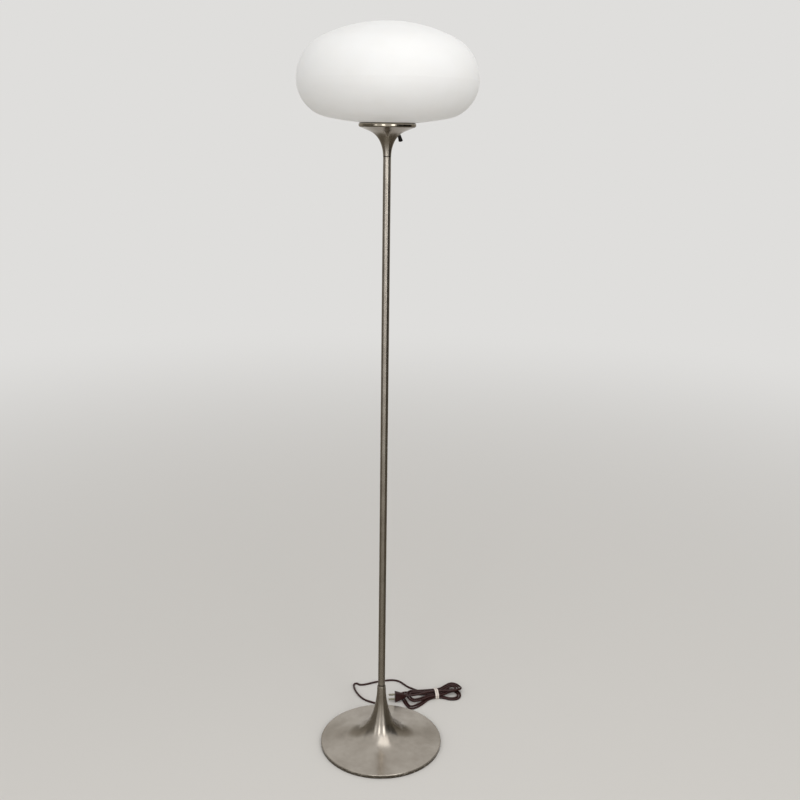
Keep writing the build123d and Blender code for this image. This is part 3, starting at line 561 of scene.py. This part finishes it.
def hank_place(station, turn, layer):
    """Place and heading of the cord at a station, some turns further in than the outermost loop."""
    side, across = stations[station % loop_steps]
    level = cord_radius + layer * layer_pitch
    angle = 0
    if side == 0:
        spot = Vector((0, across * (waist_reach - strand_pitch * turn), level + waist_lift))
        heading = Vector((across, 0, 0))
    else:
        angle, length, less, shoulder, less_shoulder, half, less_half, spread, less_spread = lobes[
            side, layer
        ]
        if across == 0:
            spot = Vector((side * (length - less * turn), 0, level))
            heading = Vector((0, -side, 0))
        else:
            fan = radians(spread - less_spread * turn)
            reach = side * (shoulder - less_shoulder * turn)
            spot = Vector((reach, across * (half - less_half * turn), level))
            heading = Vector((across * cos(fan), side * sin(fan), 0))
    turned = Matrix.Rotation(radians(angle + hank_angle), 3, "Z")
    return turned @ spot + hank_middle, turned @ heading


plug_azimuth = radians(187.4)
plug_heading = Vector((cos(plug_azimuth), sin(plug_azimuth), 0))
plug_entry = Vector((0.062, 0.1704, 0.014))
plug_overlap = 0.001

# The loops go inwards on the floor, climb to the upper layer at the waist and go outwards there.
# The last strand climbs once more and runs back over the waist to the plug.
start_heading = (cord_points[-1] - cord_points[-2]).normalized()
knots = [(cord_points[-1] + 2 * cord_radius * start_heading, start_heading)]
knots += [hank_place(step, step / loop_steps, 0) for step in range(top_step)]
spot, heading = hank_place(top_step, hank_turns, 0)
climb = Vector((0, 0, layer_pitch))
knots.append((spot + climb / 2, (heading + climb / climb_length).normalized()))
for step in range(top_step + 1, tail_step + 1):
    knots.append(hank_place(step, hank_turns - (step - top_step) / loop_steps, 1))
spot, heading = knots.pop()
knots.append((spot + climb, heading))
along_hank = Matrix.Rotation(radians(hank_angle), 3, "Z")
tail_spot = Vector((0, tail_offset, cord_radius + 2 * layer_pitch + waist_lift))
knots.append((along_hank @ tail_spot + hank_middle, along_hank @ Vector((-1, 0, 0))))
knots.append((plug_entry - 2 * cord_radius * plug_heading, plug_heading))

# Between two knots the cord goes round two corners, at one distance from each knot.
no_bend = 1e-9
for (start, start_way), (end, end_way) in zip(knots, knots[1:]):
    chord = end - start
    along = chord.dot(start_way + end_way)
    bend = 2 * (1 - start_way.dot(end_way))
    if bend < no_bend:
        reach = chord.length_squared / (2 * along)
    else:
        reach = (sqrt(along**2 + bend * chord.length_squared) - along) / bend
    cord_points += [start + reach * start_way, end - reach * end_way]
cord_points.append(plug_entry + plug_overlap * plug_heading)

cord_curve = bpy.data.curves.new("lamp_cord", "CURVE")
cord_curve.dimensions = "3D"
cord_curve.bevel_depth = cord_radius
cord_curve.bevel_resolution = 5
cord_curve.resolution_u = 6
cord_curve.use_fill_caps = True
cord_line = cord_curve.splines.new("NURBS")
cord_line.points.add(len(cord_points) - 1)
for point, at in zip(cord_line.points, cord_points):
    point.co = (*at, 1)
cord_line.order_u = 3
cord_line.use_endpoint_u = True


def new_object(name, data):
    """An object in the scene, at the origin."""
    made = bpy.data.objects.new(name, data)
    bpy.context.scene.collection.objects.link(made)
    return made


lamp_cord = new_object("lamp_cord", cord_curve)

# PVC jacket, extruded: dark red brown, a soft gloss, with handling marks about 12 mm long and a
# skin of 0.5 mm from the die.
handling_mark = 0.012
die_grain = 0.0005
jacket, place = new_material("extruded_pvc_jacket")
marks = add_node(jacket, "TexNoise", {"Vector": place, "Scale": 1 / handling_mark, "Detail": 4})
die_skin = add_node(jacket, "TexNoise", {"Vector": place, "Scale": 1 / die_grain, "Detail": 2})
brown = add_node(
    jacket,
    "Mix",
    {0: marks.outputs["Fac"], 6: linear("26100E"), 7: linear("401F1B")},
    data_type="RGBA",
)
soft_gloss = add_node(
    jacket, "MapRange", {0: marks.outputs["Fac"], 1: 0.3, 2: 0.7, 3: 0.3, 4: 0.46}
)
drawn = add_node(
    jacket, "Bump", {"Strength": 0.2, "Distance": 0.00005, "Height": die_skin.outputs["Fac"]}
)
jacket_shader = add_node(
    jacket,
    "BsdfPrincipled",
    {
        "Base Color": brown.outputs[2],
        "Roughness": soft_gloss.outputs[0],
        "IOR": 1.53,
        "Specular IOR Level": 0.3,
        "Normal": drawn.outputs[0],
    },
)
dress(jacket, jacket_shader, "riser_cord", "switch_leads", "socket_leads", "plug_body")
cord_curve.materials.append(jacket)

# The curve has its material before it rides: changed after that, it would count its points as 1 m
# thick in the object's box.
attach(lamp_cord, "lamp")
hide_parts("cord_free", "cord_hank")

# ---- Tie -----------------------------------------------------------------------------------------
# A thin wire between two strips of white paper. It is wound twice round the middle of the loops by
# hand, and its ends are twisted together behind them.
tie_gap = 0.0004
tie_thickness = 0.0006
wrap_width = 0.004
wrap_spacing = 0.0046
wrap_segments = 32
hank_way = along_hank @ Vector((1, 0, 0))
upright = (along_hank @ Matrix.Rotation(pi / 2, 3, "Y")).to_4x4()
strand_places = [spot for spot, heading in knots[1::4]]  # the waist is every fourth knot


def finished_mesh(name, shape):
    """A mesh made from a bmesh, which it frees."""
    mesh = bpy.data.meshes.new(name)
    shape.to_mesh(mesh)
    shape.free()
    return mesh


# Each wrap is the hull round the strands, opened at its two sides and given the paper's thickness.
end_facing = 0.99
tie = bmesh.new()
for wrap in (-0.5, 0.5):
    band = bmesh.new()
    for spot in strand_places:
        for edge in (-0.5, 0.5):
            shift = (wrap * wrap_spacing + edge * wrap_width) * hank_way
            bmesh.ops.create_circle(
                band,
                cap_ends=False,
                segments=wrap_segments,
                radius=cord_radius + tie_gap,
                matrix=Matrix.Translation(spot + shift) @ upright,
            )
    bmesh.ops.convex_hull(band, input=band.verts)
    bmesh.ops.delete(band, geom=[v for v in band.verts if not v.link_faces], context="VERTS")
    ends = [face for face in band.faces if abs(face.normal.dot(hank_way)) > end_facing]
    bmesh.ops.delete(band, geom=ends, context="FACES_ONLY")
    wires = [edge for edge in band.edges if not edge.link_faces]
    bmesh.ops.delete(band, geom=wires, context="EDGES")
    bmesh.ops.recalc_face_normals(band, faces=band.faces)
    bmesh.ops.solidify(band, geom=band.faces, thickness=-tie_thickness)
    tie.from_mesh(finished_mesh("wrap", band))

# The two ends are twisted together, flat on the loops and pointing back.
twist_length = 0.013
twist_radius = 0.0013
twist_flatness = 0.4
twist_turns = 2.5
twist_sides = 8
twist_steps = 28
twist_way = along_hank @ Vector((0.35, 1, 0)).normalized()
twist = bmesh.new()
bmesh.ops.create_circle(twist, cap_ends=False, segments=twist_sides, radius=twist_radius)
bmesh.ops.scale(twist, vec=(1, twist_flatness, 1), verts=twist.verts)
bmesh.ops.spin(
    twist,
    geom=twist.verts[:] + twist.edges[:],
    axis=(0, 0, 1),
    angle=twist_turns * 2 * pi,
    dvec=(0, 0, twist_length / twist_steps),
    steps=twist_steps,
)
bmesh.ops.holes_fill(twist, edges=twist.edges, sides=twist_sides)
bmesh.ops.recalc_face_normals(twist, faces=twist.faces)
twist_root = strand_places[0] + Vector((0, 0, cord_radius + tie_gap))
twist_turn = twist_way.to_track_quat("Z", "Y").to_matrix().to_4x4()
bmesh.ops.transform(twist, matrix=Matrix.Translation(twist_root) @ twist_turn, verts=twist.verts)
tie.from_mesh(finished_mesh("twist", twist))

wire_tie = new_object("wire_tie", finished_mesh("wire_tie", tie))

# Tie paper: off-white, dull, creased about every 2 mm.
crease_spacing = 0.002
paper, place = new_material("creased_tie_paper")
creases = add_node(paper, "TexNoise", {"Vector": place, "Scale": 1 / crease_spacing, "Detail": 4})
off_white = add_node(
    paper,
    "Mix",
    {0: creases.outputs["Fac"], 6: linear("F0E7DE"), 7: linear("D8CBC0")},
    data_type="RGBA",
)
crease = add_node(
    paper, "Bump", {"Strength": 0.5, "Distance": 0.0003, "Height": creases.outputs["Fac"]}
)
paper_shader = add_node(
    paper,
    "BsdfPrincipled",
    {"Base Color": off_white.outputs[2], "Roughness": 0.7, "Normal": crease.outputs[0]},
)
dress(paper, paper_shader)
wire_tie.data.materials.append(paper)
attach(wire_tie, "lamp")
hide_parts("cord_tie")

# ---- Plug ----------------------------------------------------------------------------------------
# A two-blade plug moulded on the cord's end in the same brown, with blades of plated brass.

# Dull nickel plate on brass: grey, with an olive cast in patches of 3 mm where hands have worn it.
hand_wear = 0.003
blade_metal, place = new_material("nickel_plated_brass")
handling = add_node(
    blade_metal, "TexNoise", {"Vector": place, "Scale": 1 / hand_wear, "Detail": 4}
)
worn_plate = add_node(
    blade_metal,
    "Mix",
    {0: handling.outputs["Fac"], 6: linear("A8A494"), 7: linear("8C866E")},
    data_type="RGBA",
)
blade_dulling = add_node(
    blade_metal, "MapRange", {0: handling.outputs["Fac"], 3: 0.28, 4: 0.48}
)
blade_shader = add_node(
    blade_metal,
    "BsdfPrincipled",
    {
        "Base Color": worn_plate.outputs[2],
        "Metallic": 1,
        "Roughness": blade_dulling.outputs[0],
    },
)
dress(blade_metal, blade_shader, "plug_blades")

# ---- Floor, light and camera ---------------------------------------------------------------------
# A plain pale floor that fades into a plain pale surround, a soft lamp above and tall ones in
# front, and cards round the lamp that only glossy surfaces show, as a studio sets them for metal.
surround = linear("DFDEDC")
floor_radius = 12
fade_starts = 0.5
fade_ends = 5.0

floor_disc = bmesh.new()
bmesh.ops.create_circle(floor_disc, cap_ends=True, segments=64, radius=floor_radius)
floor = new_object("floor", finished_mesh("floor", floor_disc))
floor_material, place = new_material("pale_floor")
distance = add_node(floor_material, "VectorMath", {0: place}, operation="LENGTH")
far = add_node(
    floor_material,
    "MapRange",
    {0: distance.outputs["Value"], 1: fade_starts, 2: fade_ends},
    interpolation_type="SMOOTHSTEP",
)
floor_paint = add_node(
    floor_material, "BsdfDiffuse", {"Color": linear("D8D5D0"), "Roughness": 0.5}
)
distant = add_node(floor_material, "Emission", {"Color": surround, "Strength": 1})
floor_shader = add_node(
    floor_material,
    "MixShader",
    {0: far.outputs[0], 1: floor_paint.outputs[0], 2: distant.outputs[0]},
)
dress(floor_material, floor_shader)
floor.data.materials.append(floor_material)

# The world lights the lamp softly from all round. Seen straight, in gloss or through glass, it is
# the plain surround.
soft_strength = 0.66
world = bpy.data.worlds.new("surround")
bpy.context.scene.world = world
world.use_nodes = True
world.node_tree.nodes.clear()
ray = add_node(world, "LightPath")
seen = add_node(
    world,
    "Math",
    {0: ray.outputs["Is Camera Ray"], 1: ray.outputs["Is Glossy Ray"]},
    operation="MAXIMUM",
)
seen = add_node(
    world,
    "Math",
    {0: seen.outputs[0], 1: ray.outputs["Is Transmission Ray"]},
    operation="MAXIMUM",
)
soft_light = add_node(
    world, "Background", {"Color": linear("FFFFFF"), "Strength": soft_strength}
)
backdrop = add_node(world, "Background", {"Color": surround, "Strength": 1})
sky = add_node(
    world, "MixShader", {0: seen.outputs[0], 1: soft_light.outputs[0], 2: backdrop.outputs[0]}
)
add_node(world, "OutputWorld", {"Surface": sky.outputs[0]})

# Soft lamps: the place, the point that it faces, the width and height in metres, and the watts.
for name, spot, towards, width, height, power in (
    ("key", (0.6, -1.3, 3.4), (0, 0, 1.3), 2.4, 2.4, 24),
    ("left_window", (-0.78, -2.9, 1.6), (0, 0, 0.9), 0.6, 1.7, 9),
    ("right_window", (1.17, -2.76, 1.6), (0, 0, 0.9), 0.7, 1.7, 10),
    ("thin_window", (-2.12, -2.12, 1.6), (0, 0, 0.9), 0.2, 1.7, 1.6),
):
    light = bpy.data.lights.new(name, "AREA")
    light.shape = "RECTANGLE"
    light.size = width
    light.size_y = height
    light.energy = power
    lamp = new_object(name, light)
    lamp.location = spot
    lamp.rotation_euler = (Vector(spot) - Vector(towards)).to_track_quat("Z", "Y").to_euler()

# The cards stand round the lamp, or lie low over the floor. Those that stand change their tone from
# just over the floor to 1 m.
card_radius = 2.4
card_steps = 24
tone_starts = 0.1
tone_ends = 1.0
low_card_inner = 0.2
low_card_height = 0.001


def stand_card(name, begin, end, inner, outer, colour):
    """A card between two azimuths in degrees, from the front to the right. Its inner and outer edge
    are each a radius and a height. The colour is one linear tone, or a pair for foot and top."""
    card_shape = bmesh.new()
    edge = [card_shape.verts.new((0, -radius, height)) for radius, height in (inner, outer)]
    geom = edge + [card_shape.edges.new(edge)]
    bmesh.ops.rotate(card_shape, matrix=Matrix.Rotation(radians(begin), 3, "Z"), verts=edge)
    bmesh.ops.spin(
        card_shape, geom=geom, axis=(0, 0, 1), angle=radians(end - begin), steps=card_steps
    )
    card = new_object(name, finished_mesh(name, card_shape))
    card_material, place = new_material(name)
    if len(colour) == 2:
        level = add_node(card_material, "SeparateXYZ", {0: place})
        rise = add_node(
            card_material, "MapRange", {0: level.outputs[2], 1: tone_starts, 2: tone_ends}
        )
        tone = add_node(
            card_material,
            "Mix",
            {0: rise.outputs[0], 6: colour[0], 7: colour[1]},
            data_type="RGBA",
        )
        colour = tone.outputs[2]
    tone_shader = add_node(card_material, "Emission", {"Color": colour, "Strength": 1})
    dress(card_material, tone_shader)
    card.data.materials.append(card_material)
    card.visible_camera = False
    card.visible_diffuse = False
    card.visible_shadow = False
    card.visible_transmission = False


for name, begin, end, height, low_tone, top_tone in (
    ("right_wall_card", 36, 112, 1.55, "4E493F", "12100C"),
    ("right_back_card", 112, 165, 1.45, "5E584D", "99948B"),
    ("left_wall_card", -55, -112, 1.55, "77726A", "6B6760"),
    ("left_back_card", -112, -165, 1.45, "77726A", "A09B92"),
):
    tones = (linear(low_tone), linear(top_tone))
    stand_card(name, begin, end, (card_radius, 0), (card_radius, height), tones)

for name, begin, end, tone in (
    ("right_floor_card", 40, 150, "645E53"),
    ("left_floor_card", -55, -150, "736D62"),
    ("front_floor_card", -55, 40, "8B867B"),
):
    near = (low_card_inner, low_card_height)
    stand_card(name, begin, end, near, (card_radius, low_card_height), linear(tone))

# The camera stands 2 m in front of the lamp at 1.38 m and looks down at it, a little off level.
camera_place = Vector((0, -2.0211, 1.3831))
look_down, look_right, roll = radians(15.31), radians(0.931), radians(0.85)
camera_data = bpy.data.cameras.new("camera")
camera_data.sensor_width = 36
camera_data.lens = 44.433
camera = new_object("camera", camera_data)
forward = Vector(
    (sin(look_right) * cos(look_down), cos(look_right) * cos(look_down), -sin(look_down))
)
level_right = Vector((cos(look_right), -sin(look_right), 0))
level_up = level_right.cross(forward)
right = cos(roll) * level_right + sin(roll) * level_up
up = cos(roll) * level_up - sin(roll) * level_right
turned = Matrix((right, up, -forward)).transposed().to_4x4()
camera.matrix_world = Matrix.Translation(camera_place) @ turned
bpy.context.scene.camera = camera
bpy.context.scene.view_settings.view_transform = "Standard"
